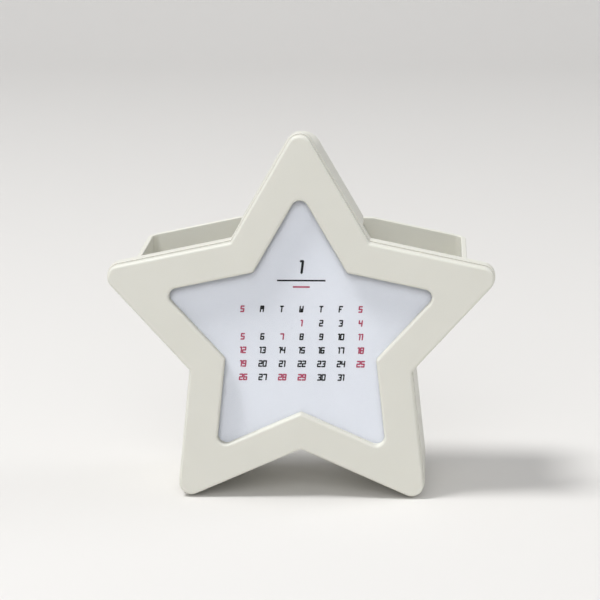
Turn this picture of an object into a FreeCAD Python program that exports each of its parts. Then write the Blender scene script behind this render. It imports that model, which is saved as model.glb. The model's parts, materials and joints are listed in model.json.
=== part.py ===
import FreeCAD, Part
import math
import os

# Star-shaped desk calendar. A pull-off star bezel covers a window sheet and a pack of month cards.
# Behind it stand a star plate and an open-topped holder with a drawer that opens at the rear.
# Millimetres, +Z up, front towards -Y, origin under the middle of the object at table height.

# ---- Driving dimensions: the star ----
ARMS = 5
STAR_RADIUS = 89.5          # centre to the sharp corner of an arm
NOTCH_RADIUS = 48.9         # centre to the notch between two arms
TIP_ROUND = 5.5             # rounding at the end of each arm
NOTCH_ROUND = 0.8           # rounding in each notch
OVERALL_DEPTH = 58.0        # front face to back wall
FOOT_CLEARANCE = 0.6        # height of the moulded feet above the table

# ---- Bezel ----
BEZEL_THICKNESS = 5.0
BEZEL_INSET = 0.4           # bezel's outline inside the outline of the star plate
BEZEL_EDGE_ROUND = 1.2      # soft edge round the front face and the window
SEAM_ROUND = 0.3            # soft edge along the seam between bezel and plate
SEAM_GAP = 1.0              # shadow gap round the outside of that seam
SEAM_STEP = 1.6             # how far in the shadow gap reaches
FRAME_WIDTH = 14.6          # outline to window
WINDOW_TIP_ROUND = 3.5
WINDOW_NOTCH_ROUND = 1.5
LIP_THICKNESS = 4.0         # bezel material in front of the window sheet

# ---- Window sheet and cards ----
SHEET_THICKNESS = 0.6
CARD_THICKNESS = 0.3
SPARE_CARDS = 11
CARD_OVERLAP = 4.0          # how far sheet and cards reach behind the lip
CARD_TIP_ROUND = 4.0
CARD_CLEARANCE = 0.4        # cards to the walls of their pocket
PACK_SLACK = 0.2            # free depth left behind the pack of cards

# ---- Magnets and locating pegs ----
MAGNET_RADIUS = 3.0
MAGNET_THICKNESS = 1.5
MAGNET_RECESS = 0.1         # each magnet sits this far below the seam face
MAGNET_CLEARANCE = 0.1
MAGNET_CIRCLE = 77.0        # centre of the star to each magnet
PEG_RADIUS = 1.5
PEG_LENGTH = 2.0
PEG_CLEARANCE = 0.1
PEG_END_GAP = 0.5
PEG_CIRCLE = 43.3           # centre of the star to each peg
PEG_ANGLES = (54.0, 126.0, 270.0)

# ---- Star plate and its hollow top arm ----
PLATE_THICKNESS = 5.5
WALL = 2.2
ARM_BOX_DEPTH = 23.0        # seam to the back of the hollow top arm
ARM_BOX_RISE = 5.0          # underside of the hollow arm above the shoulder notches
ARM_TIP_ROUND = 8.0         # rounding at the top of the hollow arm
ARM_EDGE_ROUND = 1.2
COVER_THICKNESS = 2.0
COVER_CLEARANCE = 0.15
COVER_SCREW_RISE = 14.0     # arm cover's screw above the underside of the arm

# ---- Rear body ----
END_WALL_X = 68.5           # outside of each end wall
END_CORNER_ROUND = 6.0
BODY_EDGE_ROUND = 4.5
BODY_INNER_ROUND = 2.6
BACK_WALL = 2.5
RIM_ROUND = 0.5
DECK_THICKNESS = 3.0
BLANK_RISE = 20.0           # moulded blank above the shoulders before its rim is trimmed
LEDGE_WIDTH = 2.5
LEDGE_HEIGHT = 2.0
LEDGE_END_GAP = 3.0

# ---- Compartment floor and dividers ----
FLOOR_THICKNESS = 2.0
FLOOR_CLEARANCE = 0.2
DIVIDER_X = 23.6            # middle of each divider
DIVIDER_THICKNESS = 2.0
DIVIDER_DROP = 0.5          # divider tops below the shoulder notches
DIVIDER_CORNER_ROUND = 3.0

# ---- Drawer ----
DRAWER_HALF_WIDTH = 40.0
DRAWER_HEIGHT = 20.0
DRAWER_WALL = 1.6
DRAWER_CORNER_ROUND = 2.0
DRAWER_INNER_GAP = 1.0      # drawer to star plate when shut
DRAWER_SIDE_GAP = 0.3
DRAWER_RUNNING_GAP = 0.15
FRONT_HEIGHT = 22.0
FRONT_THICKNESS = 2.5
FRONT_GAP = 0.4             # drawer front to its opening, all round
FRONT_CORNER_ROUND = 1.5
FRONT_EDGE_ROUND = 0.6
FRONT_PIN_RADIUS = 1.5
FRONT_PIN_X = 26.0
FRONT_PIN_CLEARANCE = 0.1
FINGER_NOTCH_RADIUS = 9.0
RAIL_BASE = 0.8
RAIL_BASE_WIDTH = 6.0
RAIL_LIP_WIDTH = 2.0
RAIL_LIP_HEIGHT = 4.0
RAIL_END_GAP = 1.0
FLOOR_HEADROOM = 0.8        # drawer opening to the underside of the compartment floor
STOP_WIDTH = 12.0
STOP_THICKNESS = 2.0
STOP_ENGAGEMENT = 2.0       # how far the stop hangs below the drawer's top edge
STOP_FROM_BACK = 10.5       # back of the object to the stop
STOP_PEG_RADIUS = 1.5
STOP_PEG_CLEARANCE = 0.1

# ---- Screws ----
SCREW_RADIUS = 1.2
SCREW_HEAD_RADIUS = 2.4
SCREW_HEAD_HEIGHT = 1.3
SCREW_HEAD_SINK = 0.2
SCREW_DRIVE_RADIUS = 0.8
SCREW_DRIVE_DEPTH = 0.8
SCREW_CLEARANCE = 0.15
SCREW_LENGTH = 11.0
BOSS_RADIUS = 3.2
BOSS_LENGTH = 10.0
BOSS_END = 2.0              # closed end of each boss behind its pilot hole
BOSS_OVERLAP = 0.7          # how far each boss is moulded into the wall beside it
PILOT_CLEARANCE = 0.05
UPPER_SCREW_X = 60.0        # upper screws, beside the undersides of the side arms
LOWER_SCREW_DROP = 4.0      # lower screws, beside the legs, below the underside of the deck

# ---- Foot pads ----
PAD_WIDTH = 4.0
PAD_LENGTH = 9.0
PAD_THICKNESS = 1.6
PAD_CLEARANCE = 0.1
FRONT_PAD_FROM_PLATE = 3.0
REAR_PAD_FROM_BACK = 6.0

OVERCUT = 1.0               # tools reach this far past the faces they cut

# ---- Worked-out sizes ----
STEP_ANGLE = math.radians(180.0 / ARMS)
EDGE_LENGTH = math.sqrt(
    STAR_RADIUS**2 + NOTCH_RADIUS**2 - 2 * STAR_RADIUS * NOTCH_RADIUS * math.cos(STEP_ANGLE)
)
EDGE_DISTANCE = STAR_RADIUS * NOTCH_RADIUS * math.sin(STEP_ANGLE) / EDGE_LENGTH
HALF_TIP = math.asin(EDGE_DISTANCE / STAR_RADIUS)
SIDE_ANGLE = math.radians(90.0 - 360.0 / ARMS)
FOOT_ANGLE = math.radians(720.0 / ARMS - 90.0)
FOOT_CENTRE_RADIUS = STAR_RADIUS - TIP_ROUND / math.sin(HALF_TIP)
STAR_Z = FOOT_CLEARANCE + FOOT_CENTRE_RADIUS * math.sin(FOOT_ANGLE) + TIP_ROUND
FOOT_X = FOOT_CENTRE_RADIUS * math.cos(FOOT_ANGLE)

Y_FACE = -OVERALL_DEPTH / 2
Y_BACK = OVERALL_DEPTH / 2
Y_SHEET = Y_FACE + LIP_THICKNESS
Y_CARD = Y_SHEET + SHEET_THICKNESS
Y_SPARES = Y_CARD + CARD_THICKNESS
Y_POCKET = Y_SPARES + SPARE_CARDS * CARD_THICKNESS + PACK_SLACK
Y_SEAM = Y_FACE + BEZEL_THICKNESS
Y_PLATE_BACK = Y_SEAM + PLATE_THICKNESS
Y_ARM_BACK = Y_SEAM + ARM_BOX_DEPTH
Y_BACK_INNER = Y_BACK - BACK_WALL

CARD_INSET = FRAME_WIDTH - CARD_OVERLAP
POCKET_INSET = CARD_INSET - CARD_CLEARANCE

SHOULDER_X = NOTCH_RADIUS * math.sin(STEP_ANGLE)
SHOULDER_Z = STAR_Z + NOTCH_RADIUS * math.cos(STEP_ANGLE)
TIP_X = STAR_RADIUS * math.cos(SIDE_ANGLE)
TIP_Z = STAR_Z + STAR_RADIUS * math.sin(SIDE_ANGLE)
WAIST_X = NOTCH_RADIUS * math.cos(SIDE_ANGLE)
WAIST_Z = STAR_Z - NOTCH_RADIUS * math.sin(SIDE_ANGLE)
FOOT_TIP_X = STAR_RADIUS * math.cos(FOOT_ANGLE)
FOOT_TIP_Z = STAR_Z - STAR_RADIUS * math.sin(FOOT_ANGLE)
CROTCH_Z = STAR_Z - NOTCH_RADIUS
APEX_Z = STAR_Z + STAR_RADIUS

ARM_BASE_Z = SHOULDER_Z + ARM_BOX_RISE
DECK_TOP = CROTCH_Z + DECK_THICKNESS
OPENING_TOP = DECK_TOP + FRONT_HEIGHT + 2 * FRONT_GAP
FLOOR_Z = OPENING_TOP + FLOOR_HEADROOM
FLOOR_TOP = FLOOR_Z + FLOOR_THICKNESS
DRAWER_Z = DECK_TOP + RAIL_BASE + DRAWER_RUNNING_GAP
DRAWER_TOP = DRAWER_Z + DRAWER_HEIGHT
Y_DRAWER = Y_PLATE_BACK + DRAWER_INNER_GAP
Y_FRONT_INNER = Y_BACK - FRONT_THICKNESS


# ---- Outline helpers ----
def star_points():
    """Sharp corners of the star as (x, z), arm and notch in turn, starting at the top arm."""
    points = []
    for index in range(2 * ARMS):
        angle = math.pi / 2 - index * STEP_ANGLE
        radius = STAR_RADIUS if index % 2 == 0 else NOTCH_RADIUS
        points.append((radius * math.cos(angle), STAR_Z + radius * math.sin(angle)))
    return points


def signed_area(points):
    total = 0.0
    for (x0, z0), (x1, z1) in zip(points, points[1:] + points[:1]):
        total += x0 * z1 - x1 * z0
    return total / 2


def inset_points(points, distance):
    """Corners of the same outline with every side moved inwards by the distance."""
    turn = 1.0 if signed_area(points) > 0 else -1.0
    lines = []
    for (x0, z0), (x1, z1) in zip(points, points[1:] + points[:1]):
        length = math.hypot(x1 - x0, z1 - z0)
        normal_x = -turn * (z1 - z0) / length
        normal_z = turn * (x1 - x0) / length
        lines.append((normal_x, normal_z, normal_x * x0 + normal_z * z0 + distance))
    corners = []
    for (a0, b0, c0), (a1, b1, c1) in zip(lines[-1:] + lines[:-1], lines):
        determinant = a0 * b1 - a1 * b0
        corners.append(((c0 * b1 - c1 * b0) / determinant, (a0 * c1 - a1 * c0) / determinant))
    return corners


def rounded_wire(points, radii, y):
    """Closed wire through the corners at depth y, each corner rounded by its own radius."""
    count = len(points)
    starts = []
    ends = []
    arcs = []
    for index, (x, z) in enumerate(points):
        corner = FreeCAD.Vector(x, y, z)
        before = FreeCAD.Vector(points[index - 1][0], y, points[index - 1][1]) - corner
        next_x, next_z = points[(index + 1) % count]
        after = FreeCAD.Vector(next_x, y, next_z) - corner
        before.normalize()
        after.normalize()
        radius = radii[index]
        if radius <= 0:
            starts.append(corner)
            ends.append(corner)
            continue
        half = before.getAngle(after) / 2
        reach = radius / math.tan(half)
        bisector = before + after
        bisector.normalize()
        middle = corner + bisector * (radius / math.sin(half) - radius)
        starts.append(corner + before * reach)
        ends.append(corner + after * reach)
        arcs.append(Part.Arc(starts[-1], middle, ends[-1]).toShape())
    edges = list(arcs)
    for index in range(count):
        edges.append(Part.LineSegment(ends[index], starts[(index + 1) % count]).toShape())
    return Part.Wire(Part.sortEdges(edges)[0])


def prism(points, radii, y0, y1):
    """Solid with the rounded outline, from depth y0 back to y1."""
    face = Part.Face(rounded_wire(points, radii, y0))
    return face.extrude(FreeCAD.Vector(0, y1 - y0, 0))


def star_prism(inset, tip_round, notch_round, y0, y1):
    points = inset_points(star_points(), inset)
    return prism(points, [tip_round, notch_round] * ARMS, y0, y1)


def block(x0, x1, y0, y1, z0, z1):
    return Part.makeBox(x1 - x0, y1 - y0, z1 - z0, FreeCAD.Vector(x0, y0, z0))


def rod(radius, x, z, y0, y1):
    """Round bar along the depth of the object."""
    return Part.makeCylinder(radius, y1 - y0, FreeCAD.Vector(x, y0, z), FreeCAD.Vector(0, 1, 0))


def edges_at_depth(shape, y):
    found = []
    for edge in shape.Edges:
        box = edge.BoundBox
        if abs(box.YMin - y) < 1e-4 and abs(box.YMax - y) < 1e-4:
            found.append(edge)
    return found


def round_edges_at(shape, y, radius, keep=lambda edge: True):
    edges = [edge for edge in edges_at_depth(shape, y) if keep(edge)]
    return shape.makeFillet(radius, edges)


def on_star(radius, degrees):
    """Point at the radius and angle from the middle of the star, as (x, z)."""
    angle = math.radians(degrees)
    return radius * math.cos(angle), STAR_Z + radius * math.sin(angle)


def under_arm_z(x):
    """Height of the underside of a side arm at x."""
    return WAIST_Z + (x - WAIST_X) * (TIP_Z - WAIST_Z) / (TIP_X - WAIST_X)


def shoulder_line_z(x):
    """Height of the star's shoulder edge at x."""
    return SHOULDER_Z + (x - SHOULDER_X) * (TIP_Z - SHOULDER_Z) / (TIP_X - SHOULDER_X)


def leg_side_x(z):
    """Distance from the middle to the outer side of a leg at height z."""
    return WAIST_X + (WAIST_Z - z) * (FOOT_TIP_X - WAIST_X) / (WAIST_Z - FOOT_TIP_Z)


def arm_angles():
    return [90.0 - index * 360.0 / ARMS for index in range(ARMS)]


def save(name, shape):
    shape.removeSplitter().exportStep(os.path.join("parts", name + ".step"))
    print(name, "solids", len(shape.Solids), "volume", round(shape.Volume, 1), "valid", shape.isValid())


# ---- Shared places ----
MAGNET_PLACES = [on_star(MAGNET_CIRCLE, degrees) for degrees in arm_angles()]
PEG_PLACES = [on_star(PEG_CIRCLE, degrees) for degrees in PEG_ANGLES]
BOSS_INSET = WALL + BOSS_RADIUS - BOSS_OVERLAP
UPPER_SCREW_Z = under_arm_z(UPPER_SCREW_X) + BOSS_INSET * EDGE_LENGTH / (TIP_X - WAIST_X)
LOWER_SCREW_Z = CROTCH_Z - LOWER_SCREW_DROP
LOWER_SCREW_X = leg_side_x(LOWER_SCREW_Z) - BOSS_INSET * EDGE_LENGTH / (WAIST_Z - FOOT_TIP_Z)
BODY_SCREW_PLACES = [
    (UPPER_SCREW_X, UPPER_SCREW_Z),
    (-UPPER_SCREW_X, UPPER_SCREW_Z),
    (LOWER_SCREW_X, LOWER_SCREW_Z),
    (-LOWER_SCREW_X, LOWER_SCREW_Z),
]
COVER_SCREW_Z = ARM_BASE_Z + COVER_SCREW_RISE
Y_COVER = Y_ARM_BACK - COVER_THICKNESS
PILOT_RADIUS = SCREW_RADIUS + PILOT_CLEARANCE


def magnet_seats(y0, y1):
    seats = [rod(MAGNET_RADIUS + MAGNET_CLEARANCE, x, z, y0, y1) for x, z in MAGNET_PLACES]
    return Part.makeCompound(seats)


# ---- Bezel, sheet and cards ----
def front_bezel():
    y_gap = Y_SEAM - SEAM_GAP
    tip = TIP_ROUND - BEZEL_INSET
    notch = NOTCH_ROUND + BEZEL_INSET
    star = star_prism(BEZEL_INSET, tip, notch, Y_FACE, y_gap)
    star = round_edges_at(star, Y_FACE, BEZEL_EDGE_ROUND)
    star = round_edges_at(star, y_gap, SEAM_ROUND)
    inset = BEZEL_INSET + SEAM_STEP
    star = star.fuse(star_prism(inset, tip - SEAM_STEP, notch + SEAM_STEP, y_gap - OVERCUT, Y_SEAM))
    y0 = Y_FACE - OVERCUT
    y1 = Y_SEAM + OVERCUT
    frame = star.cut(star_prism(FRAME_WIDTH, WINDOW_TIP_ROUND, WINDOW_NOTCH_ROUND, y0, y1))
    window_edges = [edge for edge in edges_at_depth(frame, Y_FACE) if is_window_edge(edge)]
    frame = frame.makeFillet(BEZEL_EDGE_ROUND, window_edges)
    frame = frame.cut(star_prism(POCKET_INSET, CARD_TIP_ROUND, NOTCH_ROUND, Y_SHEET, y1))
    frame = frame.cut(magnet_seats(Y_SEAM - MAGNET_THICKNESS - MAGNET_RECESS, y1))
    for x, z in PEG_PLACES:
        frame = frame.cut(rod(PEG_RADIUS + PEG_CLEARANCE, x, z, Y_SEAM - PEG_LENGTH - PEG_END_GAP, y1))
    return frame


def is_window_edge(edge):
    """True for the inner edges of the front face, which lie nearer the middle than its outer ones."""
    middle = edge.CenterOfMass
    spread = edge_line_distance(middle.x, middle.z)
    return spread > FRAME_WIDTH - BEZEL_EDGE_ROUND


def edge_line_distance(x, z):
    """How far inside the star's nearest side a point lies."""
    angle = math.atan2(z - STAR_Z, x)
    folded = abs((angle - math.pi / 2 + STEP_ANGLE) % (2 * STEP_ANGLE) - STEP_ANGLE)
    radius = math.hypot(x, z - STAR_Z)
    return EDGE_DISTANCE - radius * math.sin(HALF_TIP + folded)


def window_sheet():
    return star_prism(CARD_INSET, CARD_TIP_ROUND, NOTCH_ROUND, Y_SHEET, Y_CARD)


def month_card():
    return star_prism(CARD_INSET, CARD_TIP_ROUND, NOTCH_ROUND, Y_CARD, Y_SPARES)


def spare_month_cards():
    cards = []
    for index in range(SPARE_CARDS):
        y = Y_SPARES + index * CARD_THICKNESS
        cards.append(star_prism(CARD_INSET, CARD_TIP_ROUND, NOTCH_ROUND, y, y + CARD_THICKNESS))
    return Part.makeCompound(cards)


def magnets(y):
    return Part.makeCompound([rod(MAGNET_RADIUS, x, z, y, y + MAGNET_THICKNESS) for x, z in MAGNET_PLACES])


# ---- Star plate ----
def arm_points():
    """Outline of the hollow top arm: the star's top arm, cut level above the shoulders."""
    slope = (APEX_Z - SHOULDER_Z) / SHOULDER_X
    base_x = (APEX_Z - ARM_BASE_Z) / slope
    return [(0, APEX_Z), (base_x, ARM_BASE_Z), (-base_x, ARM_BASE_Z)]


def arm_radii(tip_round):
    return [tip_round, NOTCH_ROUND, NOTCH_ROUND]


def star_plate():
    plate = star_prism(0, TIP_ROUND, NOTCH_ROUND, Y_SEAM, Y_PLATE_BACK)
    plate = round_edges_at(plate, Y_SEAM, SEAM_ROUND)
    arm = prism(arm_points(), arm_radii(ARM_TIP_ROUND), Y_SEAM + SEAM_ROUND, Y_ARM_BACK)
    arm = round_edges_at(arm, Y_ARM_BACK, ARM_EDGE_ROUND)
    plate = plate.fuse(arm)
    hollow = inset_points(arm_points(), WALL)
    plate = plate.cut(prism(hollow, arm_radii(ARM_TIP_ROUND - WALL), Y_PLATE_BACK, Y_ARM_BACK + OVERCUT))
    boss = rod(BOSS_RADIUS, 0, COVER_SCREW_Z, Y_PLATE_BACK - OVERCUT, Y_COVER)
    plate = plate.fuse(boss)
    plate = plate.cut(rod(PILOT_RADIUS, 0, COVER_SCREW_Z, Y_COVER - SCREW_LENGTH, Y_COVER + OVERCUT))
    plate = plate.cut(star_prism(POCKET_INSET, CARD_TIP_ROUND, NOTCH_ROUND, Y_SEAM - OVERCUT, Y_POCKET))
    plate = plate.cut(magnet_seats(Y_SEAM - OVERCUT, Y_SEAM + MAGNET_RECESS + MAGNET_THICKNESS))
    for x, z in PEG_PLACES:
        plate = plate.fuse(rod(PEG_RADIUS, x, z, Y_SEAM - PEG_LENGTH, Y_SEAM + OVERCUT))
    for x, z in BODY_SCREW_PLACES:
        plate = plate.cut(screw_hole(x, z, Y_SEAM, 1, Y_PLATE_BACK + OVERCUT))
    return plate.removeSplitter()


def screw_hole(x, z, y_head, direction, y_end):
    """Clearance hole and countersink; direction is +1 for a head at the front, -1 at the back."""
    along = FreeCAD.Vector(0, direction, 0)
    sink_radius = SCREW_HEAD_RADIUS + SCREW_CLEARANCE
    shank_radius = SCREW_RADIUS + SCREW_CLEARANCE
    mouth_start = FreeCAD.Vector(x, y_head - direction * OVERCUT, z)
    mouth = Part.makeCylinder(sink_radius, SCREW_HEAD_SINK + OVERCUT, mouth_start, along)
    cone_start = FreeCAD.Vector(x, y_head + direction * SCREW_HEAD_SINK, z)
    cone = Part.makeCone(sink_radius, shank_radius, SCREW_HEAD_HEIGHT, cone_start, along)
    shank = Part.makeCylinder(shank_radius, abs(y_end - y_head), FreeCAD.Vector(x, y_head, z), along)
    return mouth.fuse(cone).fuse(shank)


def screw(x, z, y_head, direction):
    """Countersunk screw with a plain round drive recess."""
    along = FreeCAD.Vector(0, direction, 0)
    start = FreeCAD.Vector(x, y_head + direction * SCREW_HEAD_SINK, z)
    head = Part.makeCone(SCREW_HEAD_RADIUS, SCREW_RADIUS, SCREW_HEAD_HEIGHT, start, along)
    shank = Part.makeCylinder(SCREW_RADIUS, SCREW_LENGTH, start, along)
    drive = Part.makeCylinder(SCREW_DRIVE_RADIUS, SCREW_DRIVE_DEPTH, start, along)
    return head.fuse(shank).removeSplitter().cut(drive)


def body_screws():
    return Part.makeCompound([screw(x, z, Y_SEAM, 1) for x, z in BODY_SCREW_PLACES])


def arm_back_cover():
    points = inset_points(arm_points(), WALL + COVER_CLEARANCE)
    cover = prism(points, arm_radii(ARM_TIP_ROUND - WALL), Y_COVER, Y_ARM_BACK)
    return cover.cut(screw_hole(0, COVER_SCREW_Z, Y_ARM_BACK, -1, Y_COVER - OVERCUT))


def arm_cover_screw():
    return screw(0, COVER_SCREW_Z, Y_ARM_BACK, -1)


# ---- Rear body ----
def body_points():
    """Outline of the rear body before its rim is trimmed."""
    blank_top = SHOULDER_Z + BLANK_RISE
    side_z = under_arm_z(END_WALL_X)
    return [
        (END_WALL_X, side_z),
        (END_WALL_X, blank_top),
        (-END_WALL_X, blank_top),
        (-END_WALL_X, side_z),
        (-WAIST_X, WAIST_Z),
        (-FOOT_TIP_X, FOOT_TIP_Z),
        (0, CROTCH_Z),
        (FOOT_TIP_X, FOOT_TIP_Z),
        (WAIST_X, WAIST_Z),
    ]


def body_radii(tip_round, notch_round, corner_round):
    legs = [notch_round, tip_round, notch_round, tip_round, notch_round]
    return [corner_round, 0, 0, corner_round] + legs


def body_hollow():
    points = inset_points(body_points(), WALL)
    radii = body_radii(TIP_ROUND - WALL, NOTCH_ROUND + WALL, END_CORNER_ROUND - WALL)
    hollow = prism(points, radii, Y_PLATE_BACK - OVERCUT, Y_BACK_INNER)
    return round_edges_at(hollow, Y_BACK_INNER, BODY_INNER_ROUND)


def rim_trim():
    """Everything above the rim: it follows the shoulders and runs level across the middle."""
    reach = END_WALL_X + BLANK_RISE
    top = SHOULDER_Z + 2 * BLANK_RISE
    points = [
        (-reach, shoulder_line_z(reach)),
        (-SHOULDER_X, SHOULDER_Z),
        (SHOULDER_X, SHOULDER_Z),
        (reach, shoulder_line_z(reach)),
        (reach, top),
        (-reach, top),
    ]
    return prism(points, [0] * len(points), Y_PLATE_BACK - OVERCUT, Y_BACK + OVERCUT)


def on_rim(edge):
    """True for the long upper edges of the back wall and the end walls."""
    for vertex in edge.Vertexes:
        rim_z = min(SHOULDER_Z, shoulder_line_z(abs(vertex.Point.x)))
        if abs(vertex.Point.z - rim_z) > 1e-3:
            return False
    return edge.BoundBox.YMin > Y_PLATE_BACK - 1e-3


def rear_body():
    radii = body_radii(TIP_ROUND, NOTCH_ROUND, END_CORNER_ROUND)
    outer = prism(body_points(), radii, Y_PLATE_BACK, Y_BACK)
    outer = round_edges_at(outer, Y_BACK, BODY_EDGE_ROUND, lambda edge: edge.BoundBox.ZMin < SHOULDER_Z)
    body = outer.cut(body_hollow())
    deck = block(-END_WALL_X, END_WALL_X, Y_PLATE_BACK, Y_BACK_INNER + BACK_WALL / 2, CROTCH_Z, DECK_TOP)
    body = body.fuse(deck.common(outer))
    for side in (-1, 1):
        body = body.fuse(floor_ledge(side).common(outer))
    body = body.cut(rim_trim())
    opening_x = DRAWER_HALF_WIDTH + FRONT_GAP
    opening = block(-opening_x, opening_x, Y_BACK_INNER - OVERCUT, Y_BACK + OVERCUT, DECK_TOP, OPENING_TOP)
    body = body.cut(opening)
    for x, z in BODY_SCREW_PLACES:
        body = body.fuse(rod(BOSS_RADIUS, x, z, Y_PLATE_BACK, Y_PLATE_BACK + BOSS_LENGTH).common(outer))
    pilot_end = Y_PLATE_BACK + BOSS_LENGTH - BOSS_END
    for x, z in BODY_SCREW_PLACES:
        body = body.cut(rod(PILOT_RADIUS, x, z, Y_PLATE_BACK - OVERCUT, pilot_end))
    for x, y in PAD_PLACES:
        body = body.cut(pad_block(x, y, PAD_CLEARANCE))
    body = body.removeSplitter()
    return body.makeFillet(RIM_ROUND, [edge for edge in body.Edges if on_rim(edge)])


def floor_ledge(side):
    """Ledge on a leg's inner wall that carries one side of the compartment floor."""
    wall_x = leg_side_x(FLOOR_Z)
    inner = wall_x - WALL - LEDGE_WIDTH
    x0, x1 = sorted((side * inner, side * (wall_x - WALL / 2)))
    return block(x0, x1, Y_PLATE_BACK + LEDGE_END_GAP, Y_BACK_INNER, FLOOR_Z - LEDGE_HEIGHT, FLOOR_Z)


# ---- Compartment floor and dividers ----
def compartment_floor():
    """Plate across the waist, trimmed to the slanted inner walls of the body."""
    plate = block(-END_WALL_X, END_WALL_X, Y_PLATE_BACK, Y_BACK_INNER, FLOOR_Z, FLOOR_TOP)
    points = inset_points(body_points(), WALL + FLOOR_CLEARANCE)
    radii = body_radii(TIP_ROUND - WALL, NOTCH_ROUND + WALL, END_CORNER_ROUND - WALL)
    room = prism(points, radii, Y_PLATE_BACK, Y_BACK_INNER)
    plate = plate.common(round_edges_at(room, Y_BACK_INNER, BODY_INNER_ROUND))
    hole_radius = STOP_PEG_RADIUS + STOP_PEG_CLEARANCE
    return plate.cut(rod_upright(hole_radius, FLOOR_Z - OVERCUT, FLOOR_TOP + OVERCUT))


def rod_upright(radius, z0, z1):
    """Upright round bar through the middle of the drawer stop."""
    y = Y_BACK - STOP_FROM_BACK - STOP_THICKNESS / 2
    return Part.makeCylinder(radius, z1 - z0, FreeCAD.Vector(0, y, z0))


def divider(side):
    x0 = side * DIVIDER_X - DIVIDER_THICKNESS / 2
    top = SHOULDER_Z - DIVIDER_DROP
    plate = block(x0, x0 + DIVIDER_THICKNESS, Y_PLATE_BACK, Y_BACK_INNER, FLOOR_TOP, top)
    corners = []
    for edge in plate.Edges:
        box = edge.BoundBox
        if box.XLength > DIVIDER_THICKNESS / 2 and box.ZMin > top - 1e-3 and box.YMin > 0:
            corners.append(edge)
    return plate.makeFillet(DIVIDER_CORNER_ROUND, corners)


# ---- Drawer ----
FRONT_Z = DECK_TOP + FRONT_GAP
FRONT_PIN_Z = DRAWER_Z + DRAWER_HEIGHT / 2
Y_THROUGH_FRONT = Y_FRONT_INNER - DRAWER_WALL - OVERCUT


def finger_notch():
    return rod(FINGER_NOTCH_RADIUS, 0, FRONT_Z + FRONT_HEIGHT, Y_THROUGH_FRONT, Y_BACK + OVERCUT)


def drawer_box():
    half = DRAWER_HALF_WIDTH
    tray = block(-half, half, Y_DRAWER, Y_FRONT_INNER, DRAWER_Z, DRAWER_TOP)
    tray = tray.makeFillet(DRAWER_CORNER_ROUND, [edge for edge in tray.Edges if is_deep_corner(edge)])
    inner = half - DRAWER_WALL
    y0 = Y_DRAWER + DRAWER_WALL
    y1 = Y_FRONT_INNER - DRAWER_WALL
    room = block(-inner, inner, y0, y1, DRAWER_Z + DRAWER_WALL, DRAWER_TOP + OVERCUT)
    room = room.makeFillet(DRAWER_WALL, [edge for edge in room.Edges if edge.BoundBox.ZMin < DRAWER_TOP])
    tray = tray.cut(room).cut(finger_notch())
    hole_radius = FRONT_PIN_RADIUS + FRONT_PIN_CLEARANCE
    for side in (-1, 1):
        tray = tray.cut(rod(hole_radius, side * FRONT_PIN_X, FRONT_PIN_Z, Y_THROUGH_FRONT, Y_BACK))
    return tray


def is_deep_corner(edge):
    """True for the two upright edges of the drawer's inner end."""
    box = edge.BoundBox
    return box.ZLength > DRAWER_HEIGHT / 2 and box.YMax < Y_DRAWER + DRAWER_WALL


def drawer_front():
    half = DRAWER_HALF_WIDTH
    top = FRONT_Z + FRONT_HEIGHT
    corners = [(-half, FRONT_Z), (half, FRONT_Z), (half, top), (-half, top)]
    panel = prism(corners, [FRONT_CORNER_ROUND] * 4, Y_FRONT_INNER, Y_BACK)
    panel = panel.cut(finger_notch())
    panel = round_edges_at(panel, Y_BACK, FRONT_EDGE_ROUND)
    y0 = Y_FRONT_INNER - DRAWER_WALL
    y1 = Y_FRONT_INNER + FRONT_THICKNESS / 2
    for side in (-1, 1):
        panel = panel.fuse(rod(FRONT_PIN_RADIUS, side * FRONT_PIN_X, FRONT_PIN_Z, y0, y1))
    return panel.removeSplitter()


def drawer_rail(side):
    """Low-friction runner: a base under the drawer and a lip beside it."""
    y0 = Y_PLATE_BACK
    y1 = Y_BACK_INNER - RAIL_END_GAP
    lip_inner = DRAWER_HALF_WIDTH + DRAWER_SIDE_GAP
    lip_outer = lip_inner + RAIL_LIP_WIDTH
    base_inner = lip_outer - RAIL_BASE_WIDTH
    base_x = sorted((side * base_inner, side * lip_outer))
    lip_x = sorted((side * lip_inner, side * lip_outer))
    base = block(base_x[0], base_x[1], y0, y1, DECK_TOP, DECK_TOP + RAIL_BASE)
    lip = block(lip_x[0], lip_x[1], y0, y1, DECK_TOP, DECK_TOP + RAIL_LIP_HEIGHT)
    return base.fuse(lip).removeSplitter()


def drawer_stop():
    y1 = Y_BACK - STOP_FROM_BACK
    y0 = y1 - STOP_THICKNESS
    tongue = block(-STOP_WIDTH / 2, STOP_WIDTH / 2, y0, y1, DRAWER_TOP - STOP_ENGAGEMENT, FLOOR_Z)
    return tongue.fuse(rod_upright(STOP_PEG_RADIUS, FLOOR_Z - STOP_ENGAGEMENT, FLOOR_TOP)).removeSplitter()


# ---- Foot pads ----
FRONT_PAD_Y = Y_PLATE_BACK + FRONT_PAD_FROM_PLATE + PAD_LENGTH / 2
REAR_PAD_Y = Y_BACK - REAR_PAD_FROM_BACK - PAD_LENGTH / 2
PAD_PLACES = [(FOOT_X, FRONT_PAD_Y), (-FOOT_X, FRONT_PAD_Y), (FOOT_X, REAR_PAD_Y), (-FOOT_X, REAR_PAD_Y)]
PAD_NAMES = ["foot_pad_front_right", "foot_pad_front_left", "foot_pad_rear_right", "foot_pad_rear_left"]


def pad_block(x, y, clearance):
    """Foot pad, or its recess when it is given a clearance."""
    half_x = PAD_WIDTH / 2 + clearance
    half_y = PAD_LENGTH / 2 + clearance
    return block(x - half_x, x + half_x, y - half_y, y + half_y, 0, PAD_THICKNESS)


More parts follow.
